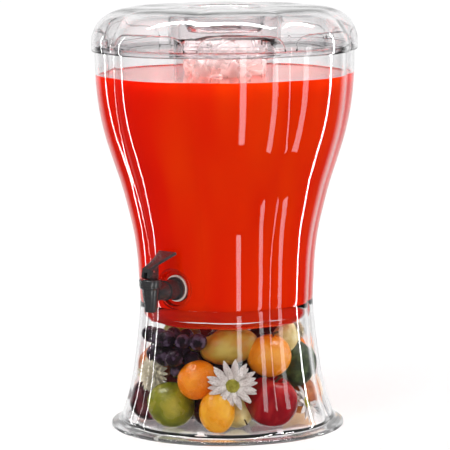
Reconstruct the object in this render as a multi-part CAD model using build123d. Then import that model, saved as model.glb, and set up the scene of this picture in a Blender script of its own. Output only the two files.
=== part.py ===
from build123d import *
import math
import os

# Beverage dispenser: a clear fluted container with a lid, an ice tube and a push tap,
# standing in the collar of a clear hollow display base.  Millimetres, +Z up.
# The origin is on the centre line, in the plane the foot stands on.  The tap faces -Y.

# Driving dimensions
overall_height = 490
lobe_count = 8
wall = 3.0
lid_wall = 2.6

# Outlines: height, radius at the middle of a lobe, depth of the creases between the lobes.
base_outline = [(0, 127.5, 5.5), (7, 126, 5.5), (18, 122.7, 5), (32, 118, 4.8), (46, 114.3, 4.5),
                (60, 111.3, 4.3), (88, 107.2, 4), (116, 103.9, 4), (148, 101.6, 4)]
container_outline = [(148, 101.6, 4), (172, 102.6, 4), (200, 104.3, 4), (229, 108.2, 4.2), (257, 114.6, 4.5),
                     (285, 122.1, 4.8), (313, 131.3, 5.2), (341, 140.0, 5.6), (369, 146.2, 6),
                     (397, 149.8, 6.3), (425, 151.2, 6.5), (447, 151.4, 6.5)]
lid_outline = [(440, 155, 6.5), (453, 155, 7.2), (462, 153, 10.5), (470, 149.5, 14), (477, 143.5, 15.5),
               (483, 136, 14), (487.5, 124.5, 9), (490, 108, 5)]
lid_hollow_outline = [(439, 152.4, 6.5), (453, 152.4, 7.2), (461, 150.4, 10.5), (468.5, 146.9, 14),
                      (475, 140.9, 15.5), (480.5, 133.4, 14), (485, 122, 9), (487.4, 107, 5)]

collar_top = 148
spigot_radius = 97.4
spigot_bottom = 126
floor_thickness = 3.5
rim_top = 447

flange_radius = 136.7
flange_edge_height = 3.0
flange_chamfer = 1.5
flange_height = 7.5
skirt_meets_flange = 126
ledge_width = 2.4
plate_radius = 117.4
plate_ledge_height = 5.0
plate_thickness = 3.5

well_radius = 45
well_floor = 464
well_taper = 2
socket_radius = 63.0
socket_wall = 2.5
socket_bottom = 446

tube_radius = 60
tube_bottom = 165
tube_top = 455
tube_wall = 2.5
tube_draft = 3
tube_foot_chamfer = 6
lug_count = 3
first_lug = 30
lug_angle = 38
lug_twist = 60
lug_height = 3.0

tap_height = 172
tap_reach = 141.5
pad_face = 93.5
pad_inner_face = 90.0
pad_radius = 20
pad_flare = 2
boss_margin = 4
shank_radius = 8.0
shank_bore = 5.0
shank_end = 78
collar_radius = 13.5
collar_thickness = 3.5
neck_radius = 10
washer_thickness = 2.0
washer_radius = 15.4
nut_height = 7.0
nut_radius = 15.5
nozzle_low = 151
nozzle_radius = 6.65
nozzle_bore = 4.8
cup_radius = 10
cup_bore = 8.2
neck_top_radius = 10.4
shelf_height = 180.5
cup_top = 186
bonnet_radius = 12.7
bonnet_bead = 0.5
bonnet_top = 188.5
pin_height = 197.5
pin_radius = 1.2
stem_lift = 3.0
lever_swing = 60
slot_half = 2.6
cheek_half = 5.5
stem_radius = 2.5
stem_gap = 0.2
eye_radius = 3.4
eye_half = 2.2
seat_height = 166
seat_cup_top = 170
spring_wire_radius = 0.45
spring_coil_radius = 4.3
spring_turns = 5
lever_thickness = 3.4
lever_tip = (31.5, 19.3)
lever_front_top = (-7.5, 4.2)
slot_clear_radius = 3.9

lobe_angle = 360 / lobe_count
fit_gap = 0.3

os.makedirs("parts", exist_ok=True)


# Helpers
def polar(radius, angle, height):
    turn = math.radians(angle)
    return Vector(radius * math.cos(turn), radius * math.sin(turn), height)


def lobed_face(radius, depth, height):
    """A flat flower outline: convex arcs that meet in sharp creases."""
    arcs = []
    for lobe in range(lobe_count):
        middle = lobe * lobe_angle
        start = polar(radius - depth, middle - lobe_angle / 2, height)
        end = polar(radius - depth, middle + lobe_angle / 2, height)
        arcs.append(ThreePointArc(start, polar(radius, middle, height), end))
    return Face(Wire(arcs))


def lobed_body(outline, inset=0):
    return loft([lobed_face(radius - inset, depth, height) for height, radius, depth in outline], ruled=True)


def lobed_ring(outer, inner, depth, low, high):
    outside = extrude(lobed_face(outer, depth, low), amount=high - low, dir=(0, 0, 1))
    inside = extrude(lobed_face(inner, depth, low), amount=high - low, dir=(0, 0, 1))
    return outside - inside


def turned(points, centre_y=0):
    """A solid turned about a vertical line through (0, centre_y), from radius and height points."""
    section = make_face(Polyline(*[(radius, 0, height) for radius, height in points], close=True))
    return Pos(0, centre_y, 0) * revolve(section, axis=Axis.Z)


def rod_y(radius, near, far, height=tap_height):
    """A round bar along Y, from y = -near to y = -far, at one height."""
    length = far - near
    return Pos(0, -(near + far) / 2, height) * Rot(90, 0, 0) * Cylinder(radius, length)


def tapered_rod_y(near_radius, far_radius, near, far):
    """A round bar along Y whose radius changes from y = -near to y = -far."""
    length = far - near
    return Pos(0, -(near + far) / 2, tap_height) * Rot(90, 0, 0) * Cone(near_radius, far_radius, length)


def ring_sector(inner, outer, low, high, middle, width):
    """A piece of a flat ring, width degrees wide, centred on the angle middle."""
    ring = Pos(0, 0, (low + high) / 2) * (Cylinder(outer, high - low) - Cylinder(inner, high - low))
    reach = outer * 1.5
    corners = [(0, 0)]
    for step in (-0.5, 0, 0.5):
        corner = polar(reach, middle + step * width, 0)
        corners.append((corner.X, corner.Y))
    wedge = extrude(make_face(Polyline(*corners, close=True)), amount=high - low)
    return ring & (Pos(0, 0, low) * wedge)


def save(name, shape):
    export_step(shape, f"parts/{name}.step")


# Display base
def make_base_shell():
    """A fluted skirt, open at both ends, on a flat round foot flange with a ledge for the plate."""
    inner_outline = [(-1, 127.6, 5.5)] + base_outline[1:-1] + [(collar_top + 1, 101.6, 4)]
    skirt = lobed_body(base_outline) - lobed_body(inner_outline, wall)
    ledge = plate_radius - ledge_width
    plate_hole = plate_radius + 0.1
    flange = turned([
        (plate_hole, 0), (flange_radius, 0), (flange_radius, flange_edge_height),
        (flange_radius - flange_chamfer, flange_edge_height + flange_chamfer),
        (skirt_meets_flange, flange_height), (ledge, flange_height), (ledge, plate_ledge_height),
        (plate_hole, plate_ledge_height)])
    return skirt + flange


def make_base_plate():
    low = plate_ledge_height - plate_thickness
    return Pos(0, 0, (low + plate_ledge_height) / 2) * Cylinder(plate_radius, plate_thickness)


# Container
def make_container_shell():
    """A fluted bucket whose spigot drops into the base's collar, with a sunken pad for the tap."""
    spigot_height = collar_top - spigot_bottom
    spigot = extrude(lobed_face(spigot_radius, 4, spigot_bottom), amount=spigot_height + 2, dir=(0, 0, 1))
    floor = spigot_bottom + floor_thickness
    hollow_outline = [(floor, spigot_radius, 4), (collar_top - 2, spigot_radius + 0.4, 4), (160, 100.6, 4)]
    hollow_outline += container_outline[1:-1] + [(rim_top + 1, 151.4, 6.5)]
    outside = lobed_body(container_outline)
    body = outside + spigot - lobed_body(hollow_outline, wall)
    beyond = 110
    boss = rod_y(pad_radius + boss_margin, pad_inner_face, beyond) & outside
    recess = tapered_rod_y(pad_radius, pad_radius + pad_flare, pad_face, beyond)
    return body + boss - recess - rod_y(shank_radius + fit_gap, shank_end, beyond)


# Lid and ice tube
def make_lid_shell():
    """A fluted cap with a sunken well, a seat for the container's rim and a twist socket below."""
    shell = lobed_body(lid_outline) - lobed_body(lid_hollow_outline)
    pieces = []
    seat = lobed_ring(153.5, 144.5, 6.5, rim_top, rim_top + 2.2)
    locating_skirt = lobed_ring(147.4, 145.0, 7, 440, rim_top + 1)
    under = lid_outline[-1][0] - lid_wall
    well_outside = turned([
        (0, well_floor - lid_wall), (well_radius - well_taper + lid_wall, well_floor - lid_wall),
        (well_radius + lid_wall, overall_height - 1), (0, overall_height - 1)])
    well_inside = turned([
        (0, well_floor), (well_radius - well_taper, well_floor),
        (well_radius, overall_height + 1), (0, overall_height + 1)])
    socket_height = under + 1 - socket_bottom
    socket = Cylinder(socket_radius + socket_wall, socket_height) - Cylinder(socket_radius, socket_height)
    socket = Pos(0, 0, socket_bottom + socket_height / 2) * socket
    ledge_top = socket_bottom + 2.2
    inner = tube_radius + 0.6
    for lug in range(lug_count):
        middle = first_lug + lug * 360 / lug_count
        ledge_angle = lug_angle + 8
        pieces.append(ring_sector(inner, socket_radius + 0.2, socket_bottom, ledge_top, middle, ledge_angle))
        for stop in (-lug_angle / 2 - 3, lug_twist + lug_angle / 2 + 3):
            pieces.append(ring_sector(inner, socket_radius + 0.2, socket_bottom, tube_top, middle + stop, 4))
    return shell + [seat, locating_skirt, well_outside, socket] + pieces - well_inside


def make_ice_tube():
    """A long closed tube that hangs in the drink, with three twist lugs near its open top."""
    low = tube_radius - tube_draft
    chamfer = tube_foot_chamfer
    outside = turned([(0, tube_bottom), (low - chamfer, tube_bottom), (low, tube_bottom + chamfer),
                      (tube_radius, tube_top), (0, tube_top)])
    inside = turned([(0, tube_bottom + tube_wall), (low - chamfer - 1, tube_bottom + tube_wall),
                     (low - tube_wall, tube_bottom + chamfer + 2), (tube_radius - tube_wall, tube_top + 1),
                     (0, tube_top + 1)])
    tube = outside - inside
    lug_low = socket_bottom + 2.2
    lugs = []
    for lug in range(lug_count):
        middle = first_lug + lug * 360 / lug_count
        lugs.append(ring_sector(tube_radius - 1, socket_radius - fit_gap, lug_low, lug_low + lug_height,
                                middle, lug_angle))
    return tube + lugs


# Tap
def make_tap_body():
    """A threaded shank and collar that carry an upright cup with a tapered nozzle below it."""
    washer_face = pad_face + washer_thickness
    shoulder = washer_face + collar_thickness
    body = rod_y(shank_radius, shank_end, shoulder)
    body += rod_y(collar_radius, washer_face, shoulder)
    body += rod_y(neck_radius + 1.9, shoulder - 1, shoulder + 2.5)
    body += rod_y(neck_radius + 1.2, shoulder, shoulder + 17)
    body += rod_y(neck_radius + 1.6, shoulder + 16.4, shoulder + 17.4)
    body += rod_y(neck_radius, shoulder + 17, tap_reach - 5)
    shelf_radius = bonnet_radius - 0.4
    body += turned([(0, nozzle_low), (nozzle_radius, nozzle_low), (cup_radius, shelf_height - 3.5),
                    (shelf_radius, shelf_height - 1.3), (shelf_radius, shelf_height),
                    (neck_top_radius, shelf_height), (neck_top_radius, cup_top), (0, cup_top)], -tap_reach)
    body -= turned([(0, nozzle_low - 1), (nozzle_bore, nozzle_low - 1), (nozzle_bore - 0.4, seat_height - 3),
                    (cup_bore - 1.4, seat_height), (cup_bore, seat_height + 12), (cup_bore, cup_top + 1),
                    (0, cup_top + 1)], -tap_reach)
    around = bonnet_radius + 1
    body -= turned([(neck_top_radius, shelf_height), (around, shelf_height), (around, bonnet_top),
                    (neck_top_radius, bonnet_top)], -tap_reach)
    return body - rod_y(shank_bore, shank_end - 1, tap_reach)


def make_washer(near, thickness, radius):
    return rod_y(radius, near, near + thickness) - rod_y(shank_radius + 0.05, near, near + thickness)


def make_tap_nut():
    """A hexagonal nut inside the container."""
    far = pad_inner_face - washer_thickness
    near = far - nut_height
    outline = RegularPolygon(nut_radius, 6)
    hexagon = Pos(0, -near, tap_height) * Rot(90, 0, 0) * extrude(outline, amount=nut_height)
    return hexagon - rod_y(shank_radius + 0.05, near - 1, far + 1)


def make_tap_bonnet():
    """A screwed cap on the cup, with a rolled top edge and a hole for the stem."""
    low = shelf_height + 0.2
    thread = neck_top_radius + 0.1
    bead = bonnet_radius + bonnet_bead
    hole = stem_radius + stem_gap
    ceiling = cup_top + 0.2
    return turned([(thread, low), (bonnet_radius, low), (bonnet_radius, bonnet_top - 2.5),
                   (bead, bonnet_top - 1.9), (bead, bonnet_top - 0.6), (bead - 0.6, bonnet_top),
                   (hole, bonnet_top), (hole, ceiling),
                   (thread, ceiling)], -tap_reach)


def cross_bar(radius, length):
    return Pos(0, -tap_reach, pin_height) * Rot(0, 90, 0) * Cylinder(radius, length)


def make_valve_stem():
    """A round rod with a flat eye on top for the lever's pin."""
    low = seat_height + 1
    top = bonnet_top + 1.5
    rod = turned([(0, low), (stem_radius, low), (stem_radius, top), (0, top)], -tap_reach)
    eye_foot = pin_height - bonnet_top - 0.6
    outline = Circle(eye_radius) + Pos(0, -eye_foot / 2) * Rectangle(2 * eye_radius, eye_foot)
    eye = Plane(origin=(-eye_half, -tap_reach, pin_height), x_dir=(0, 1, 0), z_dir=(1, 0, 0)) * outline
    stem = rod + extrude(eye, amount=2 * eye_half)
    return stem - cross_bar(pin_radius + 0.07, 2 * eye_half + 2)


def make_seat_cup():
    """A soft cone on the foot of the stem that closes the nozzle."""
    low = seat_height - 3 + 0.2
    widest = cup_bore - 1.3
    cup = turned([(0, low), (nozzle_bore - 0.7, low), (widest - 0.4, seat_height + 0.2),
                  (widest, seat_cup_top), (0, seat_cup_top)], -tap_reach)
    socket = turned([(0, seat_height + 1), (stem_radius, seat_height + 1), (stem_radius, seat_cup_top + 1),
                     (0, seat_cup_top + 1)], -tap_reach)
    return cup - socket


def make_return_spring():
    """A wire spring round the stem, between the seat cup and the bonnet."""
    low = seat_cup_top + spring_wire_radius
    height = cup_top + 0.2 - spring_wire_radius - low
    path = Helix(pitch=height / spring_turns, height=height, radius=spring_coil_radius)
    section = Plane(path @ 0, z_dir=path % 0) * Circle(spring_wire_radius)
    return Pos(0, -tap_reach, low) * sweep(section, path=path)


def cam_point(angle):
    """Where the lever's cam meets the bonnet when the lever has turned by angle, from the pin."""
    turn = math.radians(angle)
    rise = stem_lift / math.radians(lever_swing)
    height = pin_height - bonnet_top - fit_gap + rise * turn
    back = -height * math.sin(turn) - rise * math.cos(turn)
    down = -height * math.cos(turn) + rise * math.sin(turn)
    return (back, down)


def side_plate(points, half_width):
    """A plate in the YZ plane through the pin, as wide each side of the middle as half_width."""
    face = make_face(Polyline(*points, close=True))
    plane = Plane(origin=(-half_width, -tap_reach, pin_height), x_dir=(0, 1, 0), z_dir=(1, 0, 0))
    return extrude(plane * face, amount=2 * half_width)


def cross_slot(radius):
    return Pos(0, -tap_reach, pin_height) * Rot(0, 90, 0) * Cylinder(radius, 2 * slot_half)


def make_tap_lever():
    """A flared paddle on a forked block whose lower edge is the cam."""
    front_y, front_z = lever_front_top
    tip_y, tip_z = lever_tip
    slope = math.atan2(tip_z - front_z, tip_y - front_y)
    down_y = math.sin(slope) * lever_thickness
    down_z = -math.cos(slope) * lever_thickness
    cam = [cam_point(angle) for angle in (0, 15, 30, 45)]
    block_back = 8.2
    cam_start = (block_back, bonnet_top + fit_gap - pin_height)
    block = side_plate([cam_start] + cam + [lever_front_top, (block_back, 9.2)], cheek_half)
    paddle = side_plate([lever_front_top, lever_tip, (tip_y + down_y, tip_z + down_z),
                         (front_y + down_y, front_z + down_z)], 14)
    flare = [(4.6, -8.5), (cheek_half, 6), (12.6, 34)]
    outline = [(-half, reach) for half, reach in flare] + flare[::-1]
    trim = Pos(0, -tap_reach, pin_height - 20) * extrude(make_face(Polyline(*outline, close=True)), amount=60)
    clear = slot_clear_radius
    slot = side_plate([(0, 0), (clear, 0), (clear, -14), (-14, -14), (-14, -3.58), (-1.95, 3.38)], slot_half)
    slot += cross_slot(clear)
    return block + (paddle & trim) - slot - cross_bar(pin_radius, 2 * cheek_half + 2)


def make_lever_pin():
    return cross_bar(pin_radius, 2 * cheek_half)


save("base_shell", make_base_shell())
save("base_plate", make_base_plate())
save("container_shell", make_container_shell())
save("lid_shell", make_lid_shell())
save("ice_tube", make_ice_tube())
save("tap_body", make_tap_body())
save("tap_outer_washer", make_washer(pad_face, washer_thickness, washer_radius))
inner_washer_near = pad_inner_face - washer_thickness
save("tap_inner_washer", make_washer(inner_washer_near, washer_thickness, washer_radius - 0.4))
save("tap_nut", make_tap_nut())
save("tap_bonnet", make_tap_bonnet())
save("valve_stem", make_valve_stem())
save("valve_seat_cup", make_seat_cup())
save("return_spring", make_return_spring())
save("tap_lever", make_tap_lever())
save("lever_pin", make_lever_pin())
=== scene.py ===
import math
import random

import bmesh
import bpy
from mathutils import Matrix, Vector, noise


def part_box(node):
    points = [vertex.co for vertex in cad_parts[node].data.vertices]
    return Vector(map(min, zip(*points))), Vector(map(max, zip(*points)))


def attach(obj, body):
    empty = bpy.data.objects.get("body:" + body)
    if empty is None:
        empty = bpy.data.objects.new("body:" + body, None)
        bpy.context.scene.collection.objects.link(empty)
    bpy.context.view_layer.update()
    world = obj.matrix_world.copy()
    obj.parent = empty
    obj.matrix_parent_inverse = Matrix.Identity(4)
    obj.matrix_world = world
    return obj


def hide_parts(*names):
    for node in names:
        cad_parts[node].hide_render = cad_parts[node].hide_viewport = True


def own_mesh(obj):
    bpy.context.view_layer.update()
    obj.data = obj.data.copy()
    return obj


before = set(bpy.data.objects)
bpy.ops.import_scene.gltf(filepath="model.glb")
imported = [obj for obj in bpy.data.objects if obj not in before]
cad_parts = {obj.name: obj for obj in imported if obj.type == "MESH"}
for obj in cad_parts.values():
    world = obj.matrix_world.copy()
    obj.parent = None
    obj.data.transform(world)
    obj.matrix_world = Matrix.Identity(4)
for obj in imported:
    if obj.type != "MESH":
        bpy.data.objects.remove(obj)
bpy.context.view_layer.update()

scene = bpy.context.scene
mm = 0.001
lobes = 8
halfLobe = math.pi / lobes
viewTurn = math.radians(37.5)      # how far round from the tap the display faces the viewer

# levels from the frame, in millimetres
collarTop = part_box("base_shell")[1].z / mm
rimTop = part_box("container_shell")[1].z / mm
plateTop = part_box("base_plate")[1].z / mm
tubeLow, tubeTop = (corner.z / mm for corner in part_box("ice_tube"))
shankHeight = sum(corner.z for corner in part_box("tap_outer_washer")) / 2      # in metres


def facing(angle):
    # which way an angle round from the viewer points, to the viewer's right where it is positive
    turn = viewTurn + math.radians(angle)
    return Vector((math.sin(turn), -math.cos(turn), 0))


def newObject(name, data):
    made = bpy.data.objects.new(name, data)
    scene.collection.objects.link(made)
    return made


def meshObject(name, work):
    data = bpy.data.meshes.new(name)
    work.to_mesh(data)
    work.free()
    return newObject(name, data)


def newPiece(name, points, faces, sharpAngle=None):
    data = bpy.data.meshes.new(name)
    data.from_pydata([tuple(point) for point in points], [], faces)
    work = bmesh.new()
    work.from_mesh(data)
    bmesh.ops.remove_doubles(work, verts=work.verts, dist=1e-7)
    bmesh.ops.recalc_face_normals(work, faces=work.faces)
    for face in work.faces:
        face.smooth = True
    work.to_mesh(data)
    work.free()
    if sharpAngle is not None:
        data.set_sharp_from_angle(angle=math.radians(sharpAngle))
    return newObject(name, data)


def joined(name, pieces):
    # one mesh from several, each keeping its own material
    work = bmesh.new()
    materials = []
    for piece in pieces:
        first = len(work.faces)
        work.from_mesh(piece.data)
        material = piece.data.materials[0] if piece.data.materials else None
        if material not in materials:
            materials.append(material)
        work.faces.ensure_lookup_table()
        for face in work.faces[first:]:
            face.material_index = materials.index(material)
    for piece in pieces:
        bpy.data.objects.remove(piece)
    whole = meshObject(name, work)
    for material in materials:
        if material:
            whole.data.materials.append(material)
    return whole


def ringFaces(rings, count, loop):
    faces = []
    last = rings if loop else rings - 1
    for ring in range(last):
        here = ring * count
        there = (ring + 1) % rings * count
        for step in range(count):
            onward = (step + 1) % count
            faces.append((here + step, here + onward, there + onward, there + step))
    return faces


def ringSolid(name, rings, loop=False, sharpAngle=None):
    # rings of equal length; a solid that isn't a loop is closed by a fan at each end
    count = len(rings[0])
    points = [point for ring in rings for point in ring]
    faces = ringFaces(len(rings), count, loop)
    if not loop:
        for ring in (0, len(rings) - 1):
            middle = sum((Vector(point) for point in rings[ring]), Vector()) / count
            points.append(middle)
            start = ring * count
            for step in range(count):
                faces.append((start + step, start + (step + 1) % count, len(points) - 1))
    return newPiece(name, points, faces, sharpAngle)


def turnedRings(profile, segments, place=Matrix.Identity(4)):
    # profile holds (radius, height) in millimetres, turned about Z and then placed
    rings = []
    for radius, height in profile:
        ring = []
        for step in range(segments):
            turn = math.tau * step / segments
            spot = Vector((radius * mm * math.cos(turn), radius * mm * math.sin(turn), height * mm))
            ring.append(place @ spot)
        rings.append(ring)
    return rings


def rounded(profile, radius, steps=4):
    # the same closed outline with each corner swapped for a small curve
    smooth = []
    count = len(profile)
    for index, corner in enumerate(profile):
        corner = Vector(corner)
        before = Vector(profile[index - 1]) - corner
        after = Vector(profile[(index + 1) % count]) - corner
        cut = min(radius, before.length * 0.45, after.length * 0.45)
        start = corner + before.normalized() * cut
        end = corner + after.normalized() * cut
        for step in range(steps + 1):
            share = step / steps
            curve = start.lerp(corner, share).lerp(corner.lerp(end, share), share)
            smooth.append(tuple(curve))
    return smooth


def lobeAngles(perLobe, gather=0.55):
    # more points near the creases than in the middle of a lobe
    angles = []
    for lobe in range(lobes):
        for step in range(perLobe):
            share = 2 * step / perLobe - 1
            offset = halfLobe * (share + gather * math.sin(math.pi * share) / math.pi)
            angles.append(lobe * 2 * halfLobe + offset)
    return angles


creaseSoft = 0.045      # how softly a crease turns, in radians
bluntSoft = 0.13        # and how much more so where the lid is blunted


def lobeRadius(turn, radius, depth, soft=creaseSoft):
    # a lobe is an arc from crease to crease; near a crease the angle is eased so that it doesn't end sharp
    if depth < 1e-6:
        return radius
    offset = abs((turn + halfLobe) % (2 * halfLobe) - halfLobe)
    crease = radius - depth
    chord = crease * math.sin(halfLobe)
    rise = radius - crease * math.cos(halfLobe)
    arc = (chord ** 2 + rise ** 2) / (2 * rise)
    centre = radius - arc
    gap = halfLobe - offset
    gap = math.sqrt(gap ** 2 + soft ** 2) - soft * math.exp(-gap / (3 * soft)) * 0.4
    angle = halfLobe - gap
    return centre * math.cos(angle) + math.sqrt(max(arc ** 2 - (centre * math.sin(angle)) ** 2, 0))


def valley(turn):
    # 0 in the middle of a lobe and 1 at its creases
    offset = abs((turn + halfLobe) % (2 * halfLobe) - halfLobe) / halfLobe
    return offset ** 4


def lobedRings(stations, angles, blunt=None):
    # a station is radius, height, crease depth and, on near-level stretches, how far the surface dips at
    # the creases, in millimetres; blunt gives the two heights between which the creases grow softer
    rings = []
    for station in stations:
        radius, height, depth = station[:3]
        drop = station[3] if len(station) > 3 else 0
        soft = creaseSoft
        if blunt:
            soft += bluntSoft * max(0, min(1, (height - blunt[0]) / (blunt[1] - blunt[0])))
        ring = []
        for turn in angles:
            reach = lobeRadius(turn, radius, depth, soft)
            level = height - drop * valley(turn)
            ring.append(Vector((reach * math.cos(turn), reach * math.sin(turn), level)) * mm)
        rings.append(ring)
    return rings


def smoothStations(stations, spacing):
    # a smooth curve through the stations, with points about one spacing apart
    values = [tuple(station) + (0,) * (4 - len(station)) for station in stations]
    fine = []
    for index in range(len(values) - 1):
        before = Vector(values[max(index - 1, 0)])
        start = Vector(values[index])
        end = Vector(values[index + 1])
        after = Vector(values[min(index + 2, len(values) - 1)])
        length = math.hypot(end[0] - start[0], end[1] - start[1])
        into = (end - before) * (length / max((start - before).length + length, 1e-6))
        out = (after - start) * (length / max((after - end).length + length, 1e-6))
        steps = max(1, round(length / spacing))
        for step in range(steps):
            t = step / steps
            fine.append(start * (2 * t ** 3 - 3 * t ** 2 + 1) + into * (t ** 3 - 2 * t ** 2 + t)
                        + end * (3 * t ** 2 - 2 * t ** 3) + out * (t ** 3 - t ** 2))
    fine.append(Vector(values[-1]))
    return [tuple(value) for value in fine]


def inset(stations, thickness):
    return [(station[0] - thickness,) + tuple(station[1:]) for station in stations]


def newMaterial(name):
    material = bpy.data.materials.new(name)
    material.use_nodes = True
    nodes = material.node_tree.nodes
    nodes.clear()
    output = nodes.new("ShaderNodeOutputMaterial")
    shader = nodes.new("ShaderNodeBsdfPrincipled")
    material.node_tree.links.new(shader.outputs[0], output.inputs["Surface"])
    return material, nodes, material.node_tree.links, shader, output


def noiseNode(nodes, links, scale, detail=3, stretch=(1, 1, 1)):
    place = nodes.new("ShaderNodeTexCoord")
    mapping = nodes.new("ShaderNodeMapping")
    mapping.inputs["Scale"].default_value = stretch
    pattern = nodes.new("ShaderNodeTexNoise")
    pattern.inputs["Scale"].default_value = scale
    pattern.inputs["Detail"].default_value = detail
    links.new(place.outputs["Object"], mapping.inputs["Vector"])
    links.new(mapping.outputs[0], pattern.inputs["Vector"])
    return pattern


def rampNode(nodes, links, source, stops, *sockets):
    ramp = nodes.new("ShaderNodeValToRGB")
    points = ramp.color_ramp.elements
    while len(points) < len(stops):
        points.new(0.5)
    for point, (place, colour) in zip(points, stops):
        point.position = place
        point.color = (*colour, 1)
    links.new(source, ramp.inputs[0])
    for socket in sockets:
        links.new(ramp.outputs[0], socket)
    return ramp


def bumpNode(nodes, links, shader, height, strength, distance):
    bump = nodes.new("ShaderNodeBump")
    bump.inputs["Strength"].default_value = strength
    bump.inputs["Distance"].default_value = distance
    links.new(height, bump.inputs["Height"])
    links.new(bump.outputs[0], shader.inputs["Normal"])


def passRays(nodes, links, kind, shader, output, tint=(1, 1, 1)):
    # lets one kind of ray straight through
    ray = nodes.new("ShaderNodeLightPath")
    clear = nodes.new("ShaderNodeBsdfTransparent")
    clear.inputs["Color"].default_value = (*tint, 1)
    mix = nodes.new("ShaderNodeMixShader")
    links.new(ray.outputs[kind], mix.inputs[0])
    links.new(shader.outputs[0], mix.inputs[1])
    links.new(clear.outputs[0], mix.inputs[2])
    links.new(mix.outputs[0], output.inputs["Surface"])


def grey(value):
    return (value, value, value)


def paint(red, green, blue):
    # a display colour, 0 to 255, as the linear values that the shaders use
    return tuple(((value / 255 + 0.055) / 1.055) ** 2.4 if value > 10 else value / 3294
                 for value in (red, green, blue))


def makeClearPlastic(name, clear, edge, roughness, waviness):
    # clear where it is looked at squarely, and darker lavender grey where the look is slanting: painted
    # shade that stands in for the dark surroundings seen in and through its edges
    material, nodes, links, shader, output = newMaterial(name)
    slant = nodes.new("ShaderNodeLayerWeight")
    slant.inputs["Blend"].default_value = 0.5
    between = [(one + other) / 2 for one, other in zip(clear, edge)]
    rampNode(nodes, links, slant.outputs["Facing"], [(0.0, clear), (0.78, clear), (0.92, between),
                                                     (1.0, edge)],
             shader.inputs["Base Color"])
    shader.inputs["Transmission Weight"].default_value = 1
    shader.inputs["IOR"].default_value = 1.49
    pattern = noiseNode(nodes, links, 60, 4)
    rampNode(nodes, links, pattern.outputs["Fac"], [(0.35, grey(roughness)), (0.75, grey(roughness * 3))],
             shader.inputs["Roughness"])
    wave = noiseNode(nodes, links, 22, 1, (1, 1, 0.35))
    bumpNode(nodes, links, shader, wave.outputs["Fac"], waviness, 0.002)
    passRays(nodes, links, "Is Shadow Ray", shader, output, [value ** 0.5 for value in clear])
    return material


def makeDrink(name, shine, roughness, paintedGlow, tone=1.0):
    # the drink glows in its own colour: painted light that stands in for light coming through it, so that
    # its shading stays even
    material, nodes, links, shader, _ = newMaterial(name)
    pattern = noiseNode(nodes, links, 11, 2, (1, 1, 0.12))
    stops = [(stop, [value * tone for value in paint(*shade)])
             for stop, shade in ((0.3, (204, 14, 0)), (0.5, (213, 26, 0)), (0.75, (222, 58, 0)))]
    rampNode(nodes, links, pattern.outputs["Fac"], stops, shader.inputs["Base Color"],
             shader.inputs["Emission Color"])
    shader.inputs["Emission Strength"].default_value = paintedGlow
    shader.inputs["Roughness"].default_value = roughness
    shader.inputs["Specular IOR Level"].default_value = shine
    return material


def makeTapPlastic():
    material, nodes, links, shader, _ = newMaterial("tapPlastic")
    pattern = noiseNode(nodes, links, 900, 3)
    rampNode(nodes, links, pattern.outputs["Fac"],
             [(0.3, (0.026, 0.026, 0.028)), (0.7, (0.045, 0.044, 0.046))], shader.inputs["Base Color"])
    cloud = noiseNode(nodes, links, 70, 3)
    rampNode(nodes, links, cloud.outputs["Fac"], [(0.3, grey(0.14)), (0.7, grey(0.26))],
             shader.inputs["Roughness"])
    shader.inputs["Specular IOR Level"].default_value = 0.9
    bumpNode(nodes, links, shader, pattern.outputs["Fac"], 0.15, 0.0001)
    return material


def makeSilicone(name, light, dark, roughness):
    material, nodes, links, shader, _ = newMaterial(name)
    pattern = noiseNode(nodes, links, 500, 3)
    rampNode(nodes, links, pattern.outputs["Fac"], [(0.3, dark), (0.7, light)], shader.inputs["Base Color"])
    shader.inputs["Roughness"].default_value = roughness
    bumpNode(nodes, links, shader, pattern.outputs["Fac"], 0.1, 0.0001)
    return material


def makeSteel():
    material, nodes, links, shader, _ = newMaterial("springSteel")
    pattern = noiseNode(nodes, links, 800, 2, (1, 1, 8))
    rampNode(nodes, links, pattern.outputs["Fac"], [(0.3, grey(0.45)), (0.7, grey(0.7))],
             shader.inputs["Base Color"])
    shader.inputs["Metallic"].default_value = 1
    shader.inputs["Roughness"].default_value = 0.28
    bumpNode(nodes, links, shader, pattern.outputs["Fac"], 0.1, 0.0001)
    return material


# the second colour is painted shade, the darker tint that the clear plastic takes where it is seen slanting
clearPlastic = makeClearPlastic("clearPlastic", (0.985, 0.98, 0.985), (0.40, 0.37, 0.43), 0.003, 0.05)
# the drink's body glows faintly, which is painted light; its top doesn't glow
drinkLiquid = makeDrink("drink", 0.0, 0.6, 0.25)
drinkSurface = makeDrink("drinkSurface", 1.0, 0.06, 0.0, 0.4)
tapPlastic = makeTapPlastic()
paleSilicone = makeSilicone("paleSilicone", (0.86, 0.80, 0.75), (0.72, 0.66, 0.61), 0.35)
darkRubber = makeSilicone("darkRubber", (0.03, 0.03, 0.03), (0.018, 0.018, 0.018), 0.6)
springSteel = makeSteel()


def madeOf(piece, material):
    piece.data.materials.clear()
    piece.data.materials.append(material)
    return piece


def finishPiece(piece, material, body, slot, *nodes):
    madeOf(piece, material)
    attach(piece, body)
    if nodes:
        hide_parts(*nodes)
    return piece


# Petals, florets, grapes, ice and the lid's beads are grown by two node trees: one sets a piece round a
# ring, the other drops one on every point of a mesh.
def makeTree(name, inputs):
    tree = bpy.data.node_groups.new(name, "GeometryNodeTree")
    tree.interface.new_socket(name="Geometry", in_out="INPUT", socket_type="NodeSocketGeometry")
    for label, kind, value in inputs:
        entry = tree.interface.new_socket(name=label, in_out="INPUT", socket_type=kind)
        if value is not None:
            entry.default_value = value
    tree.interface.new_socket(name="Geometry", in_out="OUTPUT", socket_type="NodeSocketGeometry")
    return tree, tree.nodes.new("NodeGroupInput"), tree.nodes.new("NodeGroupOutput")


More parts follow.
